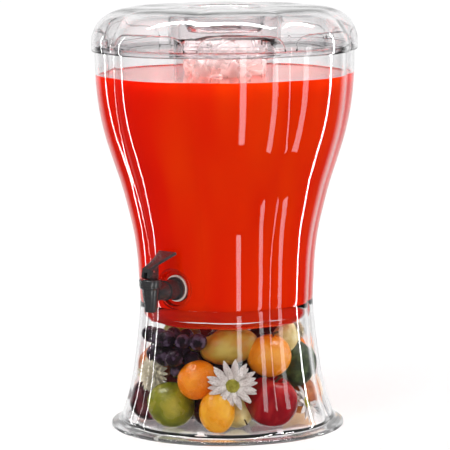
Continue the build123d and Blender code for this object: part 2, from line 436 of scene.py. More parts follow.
def randomNode(tree, kind, low, high, seed):
    node = tree.nodes.new("FunctionNodeRandomValue")
    node.data_type = kind
    first = 0 if kind == "FLOAT_VECTOR" else 2
    for index, value in ((first, low), (first + 1, high)):
        if isinstance(value, bpy.types.NodeSocket):
            tree.links.new(value, node.inputs[index])
        else:
            node.inputs[index].default_value = value
    tree.links.new(seed, node.inputs["Seed"])
    return node.outputs[first // 2]


def finishTree(tree, start, end, points, turn, size):
    # sets the piece on the points, makes it real and gives it its material
    source = tree.nodes.new("GeometryNodeObjectInfo")
    rotation = tree.nodes.new("FunctionNodeEulerToRotation")
    onPoints = tree.nodes.new("GeometryNodeInstanceOnPoints")
    real = tree.nodes.new("GeometryNodeRealizeInstances")
    cover = tree.nodes.new("GeometryNodeSetMaterial")
    for output, entry in ((start.outputs["Piece"], source.inputs["Object"]), (turn, rotation.inputs[0]),
                          (points, onPoints.inputs["Points"]),
                          (source.outputs["Geometry"], onPoints.inputs["Instance"]),
                          (rotation.outputs[0], onPoints.inputs["Rotation"]),
                          (size, onPoints.inputs["Scale"]),
                          (onPoints.outputs[0], real.inputs[0]), (real.outputs[0], cover.inputs["Geometry"]),
                          (start.outputs["Material"], cover.inputs["Material"]),
                          (cover.outputs[0], end.inputs[0])):
        tree.links.new(output, entry)


def mathNode(tree, operation, *values):
    node = tree.nodes.new("ShaderNodeMath")
    node.operation = operation
    for index, value in enumerate(values):
        if isinstance(value, bpy.types.NodeSocket):
            tree.links.new(value, node.inputs[index])
        else:
            node.inputs[index].default_value = value
    return node.outputs[0]


def makeRingTree():
    tree, start, end = makeTree("setRoundRing", [
        ("Piece", "NodeSocketObject", None), ("Count", "NodeSocketInt", 8),
        ("Radius", "NodeSocketFloat", 0.01),
        ("First", "NodeSocketFloat", 0.0), ("Lift", "NodeSocketFloat", 0.0),
        ("Spread", "NodeSocketFloat", 0.0),
        ("Smallest", "NodeSocketFloat", 1.0),
        ("Largest", "NodeSocketFloat", 1.0), ("Seed", "NodeSocketInt", 1),
        ("Material", "NodeSocketMaterial", None)])
    given = start.outputs
    ring = tree.nodes.new("GeometryNodeMeshCircle")
    tree.links.new(given["Count"], ring.inputs["Vertices"])
    tree.links.new(given["Radius"], ring.inputs["Radius"])
    index = tree.nodes.new("GeometryNodeInputIndex")
    step = mathNode(tree, "DIVIDE", math.tau, given["Count"])
    around = mathNode(tree, "MULTIPLY", index.outputs[0], step)
    stray = randomNode(tree, "FLOAT", -1.0, 1.0, given["Seed"])
    lift = mathNode(tree, "MULTIPLY_ADD", stray, given["Spread"], given["Lift"])
    turn = tree.nodes.new("ShaderNodeCombineXYZ")
    tree.links.new(mathNode(tree, "MULTIPLY", lift, -1.0), turn.inputs[1])
    tree.links.new(around, turn.inputs[2])
    spin = tree.nodes.new("ShaderNodeCombineXYZ")
    tree.links.new(given["First"], spin.inputs[2])
    placed = tree.nodes.new("GeometryNodeTransform")
    size = randomNode(tree, "FLOAT", given["Smallest"], given["Largest"], given["Seed"])
    finishTree(tree, start, placed, ring.outputs[0], turn.outputs[0], size)
    tree.links.new(spin.outputs[0], placed.inputs["Rotation"])
    tree.links.new(placed.outputs[0], end.inputs[0])
    return tree


def makePointTree():
    tree, start, end = makeTree("setOnPoints", [
        ("Piece", "NodeSocketObject", None), ("Tumble", "NodeSocketFloat", 1.0),
        ("Smallest", "NodeSocketFloat", 1.0),
        ("Largest", "NodeSocketFloat", 1.0), ("Seed", "NodeSocketInt", 1),
        ("Material", "NodeSocketMaterial", None)])
    given = start.outputs
    turn = randomNode(tree, "FLOAT_VECTOR", (0, 0, 0), (math.tau, math.tau, math.tau), given["Seed"])
    tumble = tree.nodes.new("ShaderNodeVectorMath")
    tumble.operation = "SCALE"
    tree.links.new(turn, tumble.inputs[0])
    tree.links.new(given["Tumble"], tumble.inputs["Scale"])
    size = randomNode(tree, "FLOAT", given["Smallest"], given["Largest"], given["Seed"])
    finishTree(tree, start, end, given["Geometry"], tumble.outputs[0], size)
    return tree


def bakeModifiers(piece):
    bpy.context.view_layer.update()
    shown = piece.evaluated_get(bpy.context.evaluated_depsgraph_get())
    data = bpy.data.meshes.new_from_object(shown)
    piece.modifiers.clear()
    piece.data = data


def grown(name, tree, points=((0, 0, 0),), **settings):
    # runs a tree on the points and keeps the result as a plain mesh
    data = bpy.data.meshes.new(name)
    data.from_pydata([tuple(point) for point in points], [], [])
    piece = newObject(name, data)
    change = piece.modifiers.new("grow", "NODES")
    change.node_group = tree
    for item in tree.interface.items_tree:
        if item.in_out == "INPUT" and item.name in settings:
            change[item.identifier] = settings[item.name]
    bakeModifiers(piece)
    return madeOf(piece, settings["Material"])


ringTree = makeRingTree()
pointTree = makePointTree()


def taperedTube(name, path, thick, thin, sides=10):
    # a round twig along a few points, thinner towards its end
    spots = [Vector(point) for point in path]
    rings = []
    for index, spot in enumerate(spots):
        along = spots[min(index + 1, len(spots) - 1)] - spots[max(index - 1, 0)]
        frameTurn = along.to_track_quat("Z", "X")
        size = thick + (thin - thick) * index / (len(spots) - 1)
        ring = []
        for side in range(sides):
            turn = math.tau * side / sides
            ring.append(spot + frameTurn @ Vector((size * math.cos(turn), size * math.sin(turn), 0)))
        rings.append(ring)
    return ringSolid(name, rings)


def sectorBlock(name, inner, outer, low, high, middle, width):
    rings = []
    steps = 12
    for step in range(steps + 1):
        turn = math.radians(middle + width * (step / steps - 0.5))
        across = Vector((math.cos(turn), math.sin(turn), 0))
        corners = rounded([(inner, low), (outer, low), (outer, high), (inner, high)], 0.4, 2)
        rings.append([(across * radius + Vector((0, 0, height))) * mm for radius, height in corners])
    return ringSolid(name, rings, sharpAngle=50)


baseShape = {
    "outline": [(126.0, 9.5, 5.0), (122.7, 18, 5), (118, 32, 4.8), (114.3, 46, 4.5), (111.3, 60, 4.3),
                (107.2, 88, 4), (103.9, 116, 4), (102.2, 135, 4), (101.6, 147, 4)],
    "wall": 3.0, "flangeRadius": 136.6, "plateRadius": 117.5,
    # the flange from its underside up to the skirt, outwards from its own radius
    "flange": [(-0.6, 0.0, 0), (0, 0.6, 0), (0, 2.4, 0), (-0.5, 3.4, 0), (-1.8, 4.2, 0), (-4.1, 4.9, 0.6),
               (-7.1, 5.8, 2.4), (-9.0, 7.2, 4.2)],
    "rim": [(101.2, 4), (99.2, 4)],
    # the ledge that the plate stands in, outwards from the plate's radius
    "ledge": [(3.0, 7.2, 3.5), (0.6, 5.4, 0.6), (0, 4.6, 0), (0, 0.5, 0), (0.5, 0, 0)],
}


def makeBase(shape):
    angles = lobeAngles(28)
    outside = smoothStations(shape["outline"], 6)
    inside = inset(outside, shape["wall"])
    foot = inset(shape["flange"], -shape["flangeRadius"])
    rim = [(radius, collarTop, depth) for radius, depth in shape["rim"]]
    ledge = inset(shape["ledge"], -shape["plateRadius"])
    stations = foot + outside + rim + inside[::-1] + ledge
    return ringSolid("display_base_shell", lobedRings(stations, angles), loop=True, sharpAngle=50)


finishPiece(makeBase(baseShape), clearPlastic, "base", "clear_plastic", "base_shell")
madeOf(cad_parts["base_plate"], clearPlastic)
print("base done")

containerShape = {
    "outline": [(101.6, 149.5, 4), (101.9, 160, 4), (102.6, 172, 4), (104.3, 200, 4), (108.2, 229, 4.2),
                (114.6, 257, 4.5), (122.1, 285, 4.8), (131.3, 313, 5.2), (140.0, 341, 5.6), (146.2, 369, 6),
                (149.8, 397, 6.3), (151.2, 425, 6.5), (151.4, 445.8, 6.5)],
    # the rounded corner between the floor and the spigot, inside
    "corner": [(30, 133.8, 0), (60, 133.8, 1.5), (78, 134.2, 3), (86, 135.6, 3.6), (91, 138.8, 4),
               (94, 143, 4), (95.2, 148, 4), (97.4, 153, 4)],
    # the underside, raised inside a low foot ring, up from the spigot's lowest level
    "underside": [(30, 4.2, 0), (64, 4.2, 1), (80, 4.2, 2.5), (85, 4, 3), (87, 2.8, 3.4), (87.8, 0.6, 3.5),
                  (88.6, 0, 3.6), (91, 0, 3.8), (92.2, 0.6, 4), (93.4, 2.4, 4), (95.8, 4.8, 4), (97.2, 8, 4),
                  (97.4, 11, 4)],
    "rim": [(151.1, -0.2), (150.3, 0), (149.3, 0), (148.5, -0.5)], "rimDepth": 6.5, "shoulder": 101.2,
    "wall": 3.0, "wallFrom": 158, "spigot": 97.4, "spigotLow": 126.0, "drinkLevel": 412.0,
    # the tap's pad and the holes through it; distances are out from the centre line
    "padFace": 93.5, "padRadius": 20.0, "bossReach": 98.6, "shankHole": 8.3, "holeFrom": 80, "beyond": 112,
    "nutRoom": 16.2, "nutFrom": 77.4, "padBack": 89.6,
}


def makeContainer(shape):
    angles = lobeAngles(32)
    outside = smoothStations(shape["outline"], 5)
    spigot = shape["spigot"]
    bottom = [(radius, shape["spigotLow"] + rise, depth) for radius, rise, depth in shape["underside"]]
    bottom += [(spigot, collarTop - 0.6, 4), (spigot + 0.6, collarTop, 4), (shape["shoulder"], collarTop, 4)]
    rim = [(radius, rimTop + rise, shape["rimDepth"]) for radius, rise in shape["rim"]]
    upper = [station for station in inset(outside, shape["wall"]) if station[1] > shape["wallFrom"]][::-1]
    lower = shape["corner"][::-1]
    shell = ringSolid("container", lobedRings(bottom + outside + rim + upper + lower, angles), sharpAngle=60)
    return carved(shell, tapPad(shape))


def carved(piece, tools):
    # adds or takes away each tool in turn
    for tool, mode in tools:
        change = piece.modifiers.new("carve", "BOOLEAN")
        change.operation = mode
        change.solver = "EXACT"
        change.object = tool
        bakeModifiers(piece)
        bpy.data.objects.remove(tool)
    piece.data.set_sharp_from_angle(angle=math.radians(40))
    return piece


def alongShank():
    # turns a profile's height into distance out from the centre line, towards the tap
    return Matrix.Translation((0, 0, shankHeight)) @ Matrix.Rotation(math.pi / 2, 4, "X")


def tapPad(shape):
    radius = shape["padRadius"]
    face = shape["padFace"]
    out = alongShank()
    boss = [(radius + 3.5, face - 3.5), (radius + 4, face - 3), (radius + 4.4, shape["bossReach"])]
    recess = [(radius - 1.2, face), (radius - 0.3, face + 0.3), (radius, face + 1.2), (radius + 2.2, 110)]
    hole = [(shape["shankHole"], shape["holeFrom"]), (shape["shankHole"], shape["beyond"])]
    return [(ringSolid("boss", turnedRings(boss, 72, out)), "UNION"),
            (ringSolid("recess", turnedRings(recess, 96, out)), "DIFFERENCE"),
            (ringSolid("hole", turnedRings(hole, 48, out)), "DIFFERENCE")]


def makeDrinkBody(shape):
    angles = lobeAngles(24)
    outside = smoothStations(shape["outline"], 8)
    level = shape["drinkLevel"]
    wet = [station for station in inset(outside, shape["wall"] - 0.5)
           if shape["wallFrom"] < station[1] < level - 1]
    brim = wet[-1][0]
    lower = [(radius + 0.5, height - 0.5, depth) for radius, height, depth in shape["corner"]]
    top = [(brim + 0.25, level + 1.2, 6.4), (brim - 1.6, level + 0.2, 6.4), (brim - 5, level, 6),
           (100, level, 3), (40, level, 0)]
    drink = ringSolid("drink", lobedRings(lower + wet + top, angles), sharpAngle=60)
    # room for the pad's wall and for the nut and shank behind it
    room = [(shape["nutRoom"], shape["nutFrom"]), (shape["nutRoom"], shape["padBack"]),
            (shape["padRadius"] + 3.6, shape["padBack"]), (shape["padRadius"] + 4.6, 118)]
    return carved(drink, [(ringSolid("room", turnedRings(room, 96, alongShank())), "DIFFERENCE")])


finishPiece(makeContainer(containerShape), clearPlastic, "container", "clear_plastic", "container_shell")
drinkBody = finishPiece(makeDrinkBody(containerShape), drinkLiquid, "container", None)
drinkBody.data.materials.append(drinkSurface)
for face in drinkBody.data.polygons:
    if face.normal.z > 0.7:         # the drink's top
        face.material_index = 1
print("container done")

lidShape = {
    "skirt": [(155, 441.5, 6.5), (155, 447, 6.8), (155, 453, 7.2)],
    "shoulder": [(154.6, 457.5, 8.6), (153, 462, 10.5), (149.5, 470, 14), (143.5, 477, 15.5),
                 (135.5, 483, 14), (124, 487.4, 9, 0.4), (111, 489.5, 5.5, 1.2), (98, 490, 3, 1.6),
                 (82, 490, 1.5, 1.2), (66, 490, 0.5, 0.4), (55, 490, 0, 0)],
    "well": [(49.5, 489.8, 0), (46.8, 488.6, 0), (45.2, 486, 0), (44, 475, 0), (43.2, 468, 0),
             (41.5, 465, 0), (38, 464, 0), (20, 464, 0)],
    "blunt": (456, 474), "wall": 2.6, "socket": 63.0, "socketWall": 2.5, "socketLow": 446.0,
    # twist seat for the ice tube: three ledges, each with a stop at both ends
    "ledges": 3, "firstLedge": 30, "ledgeAngle": 46, "ledgeReach": 60.6, "stops": (-22, 82), "stopAngle": 4,
    # moulded arch inside each lobe: half angle in degrees and height
    "arch": [(19.6, 446.5), (19.2, 452), (18.0, 457.5), (15.6, 461.6), (12.0, 463.6), (6.0, 464.2),
             (0, 464.3)],
    "archThick": 0.9,
    "hem": [(153.0, 440.3, 6.5), (153.6, 440, 6.5), (154.6, 440.3, 6.5)],
    # the seat that stands on the container's rim
    "seat": [(153, 447.1, 6.5), (153, 449.2, 6.5), (145, 449.2, 6.8), (144.9, 441, 7), (145.3, 440.1, 7),
             (146.9, 440.1, 7), (147.3, 441, 7), (147.3, 447.1, 6.8)],
}


def makeLid(shape):
    angles = lobeAngles(36)
    wall = shape["wall"]
    outside = smoothStations(shape["skirt"] + shape["shoulder"], 3.5)
    well = smoothStations(shape["well"], 3)
    inside = []
    for radius, height, depth, drop in outside:
        level = max(0, min(1, (height - 455) / 35))
        inside.append((radius - wall * (1 - level ** 2), height - wall * level, depth, drop))
    wellInside = [(radius + (wall if radius > 42 else 0), height - (wall if radius < 46 else wall * 0.6), 0)
                  for radius, height, depth, drop in well]
    wellInside = [station for station in wellInside if station[1] < 486.5]
    stations = shape["hem"] + outside + well + wellInside[::-1] + inside[::-1]
    shell = ringSolid("lidShell", lobedRings(stations, angles, shape["blunt"]), sharpAngle=50)
    rim = ringSolid("seat", lobedRings(shape["seat"], angles), loop=True, sharpAngle=40)
    inner = shape["socket"]
    outer = inner + shape["socketWall"]
    low = shape["socketLow"]
    socket = rounded([(inner, low), (outer, low), (outer, 487.8), (inner, 487.8)], 0.6)
    ring = ringSolid("socket", turnedRings(socket, 128), loop=True, sharpAngle=50)
    seats = []
    for index in range(shape["ledges"]):
        middle = shape["firstLedge"] + index * 360 / shape["ledges"]
        seats.append(sectorBlock("ledge", shape["ledgeReach"], inner + 0.2, low + 0.1, low + 2.2, middle,
                                 shape["ledgeAngle"]))
        for stop in shape["stops"]:
            seats.append(sectorBlock("stop", shape["ledgeReach"], inner + 0.2, low + 2.4, tubeTop,
                                     middle + stop, shape["stopAngle"]))
    return joined("lid", [shell, rim, ring] + seats + [makeArches(shape)])


def makeArches(shape):
    # a thin moulded bead from crease to crease over the inside of each lobe
    half = [(-angle, height) for angle, height in shape["arch"]]
    path = []
    for angle, height in half + [(-angle, height) for angle, height in half[-2::-1]]:
        turn = math.radians(angle)
        share = (height - 446) / 18
        reach = lobeRadius(turn, 152.4 - 1.9 * share, 7 + 3.5 * share) * mm
        path.append((reach * math.cos(turn), reach * math.sin(turn), height * mm))
    bead = taperedTube("bead", path, shape["archThick"] * mm, shape["archThick"] * mm)
    arches = grown("arches", ringTree, Piece=bead, Count=lobes, Radius=0.0, Material=clearPlastic)
    bpy.data.objects.remove(bead)
    return arches


finishPiece(makeLid(lidShape), clearPlastic, "lid", "clear_plastic", "lid_shell")
print("lid done")

tubeShape = {"radius": 60.0, "draft": 3.0, "wall": 2.5, "lugs": 3, "lugAngle": 38, "lugReach": 62.7,
             "lugLow": 448.3, "lugHeight": 2.8, "firstLug": 30}


def makeIceTube(shape):
    top = tubeTop
    low = tubeLow
    radius = shape["radius"]
    foot = radius - shape["draft"]
    wall = shape["wall"]
    profile = [(20, low), (foot - 8, low), (foot - 3, low + 1.4), (foot - 0.6, low + 4.6), (foot, low + 9),
               (radius - 0.05, top - 8), (radius, top - 0.7), (radius - 0.6, top),
               (radius - wall + 0.6, top),
               (radius - wall, top - 0.7), (radius - wall, top - 8), (foot - wall, low + 9),
               (foot - wall - 0.8, low + 6), (foot - 7, low + 3.2), (20, low + wall)]
    pieces = [ringSolid("tube", turnedRings(profile, 128), sharpAngle=50)]
    for lug in range(shape["lugs"]):
        middle = shape["firstLug"] + lug * 360 / shape["lugs"]
        pieces.append(sectorBlock("lug", radius - 0.3, shape["lugReach"], shape["lugLow"],
                                  shape["lugLow"] + shape["lugHeight"], middle, shape["lugAngle"]))
    return joined("ice_core_tube", pieces)


finishPiece(makeIceTube(tubeShape), clearPlastic, "ice_core", "clear_plastic", "ice_tube")
print("ice tube done")

# node: material, body, the record's slot and how far its edges are rounded, in millimetres
tapPieces = {
    "tap_body": (tapPlastic, "container", "tap_plastic", 0.35),
    "tap_bonnet": (tapPlastic, "container", "tap_plastic", 0.4),
    "tap_nut": (tapPlastic, "container", "tap_plastic", 0.6),
    "tap_lever": (tapPlastic, "lever", "tap_plastic", 0.5),
    "valve_stem": (tapPlastic, "stem", "tap_plastic", 0.3),
    "tap_outer_washer": (paleSilicone, "container", "pale_silicone", 0.5),
    "tap_inner_washer": (darkRubber, "container", "dark_rubber", 0.5),
}


def softened(node, material, body, slot, width):
    # a copy of the CAD piece with its facets merged and its edges rounded
    work = bmesh.new()
    work.from_mesh(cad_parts[node].data)
    bmesh.ops.remove_doubles(work, verts=work.verts, dist=2e-6)
    bmesh.ops.dissolve_limit(work, angle_limit=math.radians(1.5), verts=work.verts, edges=work.edges)
    for face in work.faces:
        face.smooth = True
    piece = meshObject(node + "_moulded", work)
    edge = piece.modifiers.new("edge", "BEVEL")
    edge.limit_method = "ANGLE"
    edge.angle_limit = math.radians(34)
    edge.width = width * mm
    edge.segments = 3
    edge.harden_normals = True
    bakeModifiers(piece)
    return finishPiece(piece, material, body, slot, node)


for node, values in tapPieces.items():
    softened(node, *values)

# coil and wire radius and how far the seat cup presses it, in millimetres; steps are points in each turn
springShape = {"coil": 4.3, "wire": 0.45, "turns": 5, "steps": 24, "press": 3.0}


def makeSpring(shape):
    # a coil round the stem, standing where the CAD spring stands
    low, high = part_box("return_spring")
    middle = (low + high) / 2
    wire = shape["wire"] * mm
    rise = high.z - low.z - 2 * wire
    coil = shape["coil"] * mm
    count = shape["turns"] * shape["steps"]
    path = []
    for step in range(count + 1):
        turn = math.tau * step / shape["steps"]
        path.append(Vector((middle.x + math.cos(turn) * coil, middle.y + math.sin(turn) * coil,
                            low.z + wire + rise * step / count)))
    spring = finishPiece(taperedTube("return_coil", path, wire, wire, 12), springSteel, "container",
                         "spring_steel",
                         "return_spring")
    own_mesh(spring)


makeSpring(springShape)
for node, material in (("valve_seat_cup", paleSilicone), ("lever_pin", springSteel)):
    madeOf(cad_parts[node], material)
print("tap done")


def keepSkin(piece, scale=1.0):
    # the shape's own coordinates, kept so that its pattern follows it wherever it is laid
    skin = piece.data.attributes.new("skin", "FLOAT_VECTOR", "POINT")
    for index, point in enumerate(piece.data.vertices):
        skin.data[index].vector = point.co * scale
    return piece


def makeSkinGroup():
    # patches and pores that stay put on a fruit's or petal's own surface
    group = bpy.data.node_groups.new("skinPattern", "ShaderNodeTree")
    for label, value in (("Patch Size", 2.0), ("Streak", 1.0), ("Pore Size", 14.0)):
        group.interface.new_socket(name=label, in_out="INPUT",
                                   socket_type="NodeSocketFloat").default_value = value
    for label in ("Patch", "Pore"):
        group.interface.new_socket(name=label, in_out="OUTPUT", socket_type="NodeSocketFloat")
    nodes = group.nodes
    start = nodes.new("NodeGroupInput")
    end = nodes.new("NodeGroupOutput")
    own = nodes.new("ShaderNodeAttribute")
    own.attribute_name = "skin"
    place = nodes.new("ShaderNodeTexCoord")
    parts = nodes.new("ShaderNodeSeparateXYZ")
    drawn = nodes.new("ShaderNodeCombineXYZ")
    squeezed = nodes.new("ShaderNodeMath")
    squeezed.operation = "MULTIPLY"
    shifted = nodes.new("ShaderNodeVectorMath")
    patch = nodes.new("ShaderNodeTexNoise")
    patch.inputs["Detail"].default_value = 5
    pore = nodes.new("ShaderNodeTexVoronoi")
    for output, entry in ((own.outputs["Vector"], parts.inputs[0]), (parts.outputs[0], drawn.inputs[0]),
                          (parts.outputs[1], drawn.inputs[1]), (parts.outputs[2], squeezed.inputs[0]),
                          (start.outputs["Streak"], squeezed.inputs[1]),
                          (squeezed.outputs[0], drawn.inputs[2]),
                          (drawn.outputs[0], shifted.inputs[0]),
                          (place.outputs["Object"], shifted.inputs[1]),
                          (shifted.outputs[0], patch.inputs["Vector"]),
                          (start.outputs["Patch Size"], patch.inputs["Scale"]),
                          (own.outputs["Vector"], pore.inputs["Vector"]),
                          (start.outputs["Pore Size"], pore.inputs["Scale"]),
                          (patch.outputs["Fac"], end.inputs["Patch"]),
                          (pore.outputs["Distance"], end.inputs["Pore"])):
        group.links.new(output, entry)
    return group


skinGroup = makeSkinGroup()


def makeSkin(name, dark, middle, light, gloss=0.35, patch=2.0, streak=1.0, pore=14.0, dent=0.3, shine=0.5):
    material, nodes, links, shader, _ = newMaterial(name)
    pattern = nodes.new("ShaderNodeGroup")
    pattern.node_tree = skinGroup
    pattern.inputs["Patch Size"].default_value = patch
    pattern.inputs["Streak"].default_value = streak
    pattern.inputs["Pore Size"].default_value = pore
    rampNode(nodes, links, pattern.outputs["Patch"],
             [(0.3, paint(*dark)), (0.5, paint(*middle)), (0.68, paint(*light))],
             shader.inputs["Base Color"])
    rampNode(nodes, links, pattern.outputs["Patch"], [(0.3, grey(gloss * 0.8)), (0.7, grey(gloss * 1.25))],
             shader.inputs["Roughness"])
    shader.inputs["Specular IOR Level"].default_value = shine
    bumpNode(nodes, links, shader, pattern.outputs["Pore"], dent, 0.0006)
    return material


skins = {
    "lime": makeSkin("limeSkin", (96, 104, 16), (134, 134, 26), (180, 164, 50), 0.26, 0.9, 0.8, 13, 0.3),
    "lemon": makeSkin("lemonSkin", (236, 146, 8), (246, 168, 14), (252, 186, 36), 0.3, 1.1, 1.0, 10, 0.5),
    "mandarin": makeSkin("mandarinSkin", (234, 112, 0), (246, 132, 2), (252, 152, 14),
                         0.26, 1.0, 1.0, 9, 0.7),
    "tangelo": makeSkin("tangeloSkin", (222, 124, 14), (238, 146, 28), (246, 168, 56),
                        0.26, 1.0, 1.0, 14, 0.3),
    "apple": makeSkin("appleSkin", (108, 0, 10), (152, 2, 20), (186, 40, 40), 0.14, 2.2, 0.18, 40, 0.04),
    "mango": makeSkin("mangoSkin", (196, 122, 34), (190, 156, 58), (204, 178, 84), 0.36, 1.3, 0.8, 26, 0.12),
    "pear": makeSkin("pearSkin", (196, 176, 100), (218, 200, 132), (230, 216, 160), 0.4, 1.8, 1.0, 30, 0.15),
    "avocado": makeSkin("avocadoSkin", (26, 40, 14), (46, 66, 24), (78, 96, 40), 0.38, 2.4, 1.0, 12, 0.5),
    "apricot": makeSkin("apricotSkin", (150, 62, 14), (196, 98, 26), (220, 134, 48), 0.5, 1.4, 0.7, 30, 0.1),
    "plum": makeSkin("plumSkin", (44, 6, 14), (70, 12, 24), (104, 26, 36), 0.25, 1.8, 0.6, 40, 0.05),
}
grapeSkin = makeSkin("grapeSkin", (20, 8, 18), (38, 16, 34), (92, 74, 96), 0.2, 1.1, 1.0, 30, 0.05)
stemWood = makeSkin("stemWood", (52, 38, 20), (88, 68, 38), (120, 98, 60), 0.7, 9, 0.3, 20, 0.6)
petalWhite = makeSkin("petalWhite", (196, 184, 178), (226, 217, 212), (242, 236, 232),
                      0.6, 7, 1.0, 30, 0.4, 0.2)
petalCream = makeSkin("petalCream", (206, 194, 158), (232, 224, 200), (246, 242, 228),
                      0.6, 5, 1.0, 26, 0.2, 0.2)
floretGreen = makeSkin("floretGreen", (120, 118, 34), (160, 154, 58), (200, 190, 92),
                       0.7, 4, 1.0, 20, 0.4, 0.2)

# shape of each kind of fruit, in units of its radius: how long it is, its blunt nose, the dimple at its
# stalk, how much its stalk end narrows, its ribs, and its stalk's length
fruitShapes = {
    "lime": {"long": 1.06, "nose": 0.10, "dimple": 0.03, "neck": 0.04, "ribs": 0.0, "stalk": 0.10},
    "lemon": {"long": 1.22, "nose": 0.20, "dimple": 0.0, "neck": 0.04, "ribs": 0.0, "stalk": 0.06},
    "mandarin": {"long": 0.94, "nose": 0.0, "dimple": 0.05, "neck": 0.05, "ribs": 0.012, "stalk": 0.08},
    "tangelo": {"long": 0.97, "nose": 0.0, "dimple": 0.05, "neck": 0.03, "ribs": 0.006, "stalk": 0.3},
    "apple": {"long": 0.95, "nose": -0.10, "dimple": 0.30, "neck": -0.04, "ribs": 0.03, "stalk": 0.42},
    "mango": {"long": 1.60, "nose": 0.02, "dimple": 0.06, "neck": 0.08, "ribs": 0.0, "stalk": 0.12},
    "pear": {"long": 1.30, "nose": -0.04, "dimple": 0.02, "neck": 0.34, "ribs": 0.01, "stalk": 0.45},
    "avocado": {"long": 1.18, "nose": 0.0, "dimple": 0.02, "neck": 0.16, "ribs": 0.0, "stalk": 0.10},
    "apricot": {"long": 1.0, "nose": 0.02, "dimple": 0.12, "neck": 0.0, "ribs": 0.02, "stalk": 0.0},
    "plum": {"long": 1.08, "nose": 0.02, "dimple": 0.10, "neck": 0.0, "ribs": 0.015, "stalk": 0.2},
}


def fruitBody(name, shape, radius, lumps):
    rows, columns = 26, 40
    rings = []
    for row in range(rows):
        polar = math.pi * (row + 0.5) / rows
        level = -math.cos(polar)
        reach = math.sin(polar)
        height = level * shape["long"]
        if level > 0:
            reach *= 1 - shape["neck"] * level ** 1.5
            height -= shape["dimple"] * math.exp(-(reach / 0.24) ** 2)
        else:
            height -= shape["nose"] * math.exp(-(reach / 0.3) ** 2)
        ring = []
        for column in range(columns):
            turn = math.tau * column / columns
            swell = 1 + shape["ribs"] * math.cos(5 * turn) * abs(level)
            spot = Vector((reach * swell * math.cos(turn), reach * swell * math.sin(turn), height))
            spot *= 1 + 0.03 * noise.noise(spot * 1.1 + Vector((lumps, 0, 0)))
            ring.append(spot * radius * mm)
        rings.append(ring)
    return ringSolid(name, rings)


def makeFruit(name, kind, radius, spot, lean, towards, lumps):
    shape = fruitShapes[kind]
    body = madeOf(keepSkin(fruitBody(name, shape, radius, lumps), 1 / (radius * mm)), skins[kind])
    size = radius * mm
    top = (shape["long"] - shape["dimple"] - 0.03) * size
    parts = [body]
    if shape["stalk"] > 0.15:
        length = shape["stalk"] * size
        path = [(0, 0, top - 0.1 * size), (0, 0, top + length * 0.4), (0.08 * size, 0, top + length * 0.75),
                (0.2 * size, 0.05 * size, top + length)]
        stalk = taperedTube("stalk", path, 0.045 * size, 0.06 * size)
        parts.append(madeOf(keepSkin(stalk, 1 / size), stemWood))
    elif shape["stalk"] > 0:
        rim = 0.13 * size
        button = [(0.6, 0.25), (1.0, 0.1), (1.05, -0.2), (0.9, -0.5)]
        profile = [(reach * rim / mm, (top + level * rim * 0.6) / mm) for reach, level in button]
        parts.append(madeOf(keepSkin(ringSolid("button", turnedRings(profile, 12)), 1 / size), stemWood))
    piece = joined(name, parts)
    axis = Matrix.Rotation(math.radians(towards) + viewTurn - math.pi / 2, 4, "Z")
    piece.data.transform(Matrix.Translation(spot) @ axis @ Matrix.Rotation(math.radians(lean), 4, "Y"))
    lowest = min(vertex.co.z for vertex in piece.data.vertices)
    piece.data.transform(Matrix.Translation((0, 0, max(0, (plateTop + 0.1) * mm - lowest))))
    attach(piece, "base")
    return piece


def wallReach(turn, height):
    # how far from the centre line the display base's inner face is
    outline = baseShape["outline"]
    for (lowRadius, low, _), (highRadius, high, _) in zip(outline, outline[1:]):
        if height <= high:
            break
    share = max(0, min(1, (height - low) / (high - low)))
    radius = lowRadius + (highRadius - lowRadius) * share
    return lobeRadius(turn, radius, 4.3) - baseShape["wall"]


def settle(items, floorLevel, ceiling, rounds=260, gap=0.3):
    # pushes overlapping balls apart and keeps them inside the base; held ones stay where they are
    for _ in range(rounds):
        for first in range(len(items)):
            for second in range(first + 1, len(items)):
                one, other = items[first], items[second]
                apart = other["spot"] - one["spot"]
                overlap = one["radius"] + other["radius"] + gap - apart.length
                if overlap <= 0 or (one["held"] and other["held"]):
                    continue
                push = apart.normalized() * overlap
                share = 0.5 if not one["held"] and not other["held"] else 1.0
                if not one["held"]:
                    one["spot"] = one["spot"] - push * share
                if not other["held"]:
                    other["spot"] = other["spot"] + push * share
        for item in items:
            spot, radius = item["spot"], item["radius"]
            if item["held"]:
                continue
            spot.z = max(floorLevel + radius, min(ceiling - radius, spot.z - 0.15))
            flat = Vector((spot.x, spot.y, 0))
            turn = math.atan2(spot.y, spot.x)
            room = wallReach(turn, spot.z) - radius - gap
            if flat.length > room:
                flat = flat.normalized() * room
                spot.x, spot.y = flat.x, flat.y


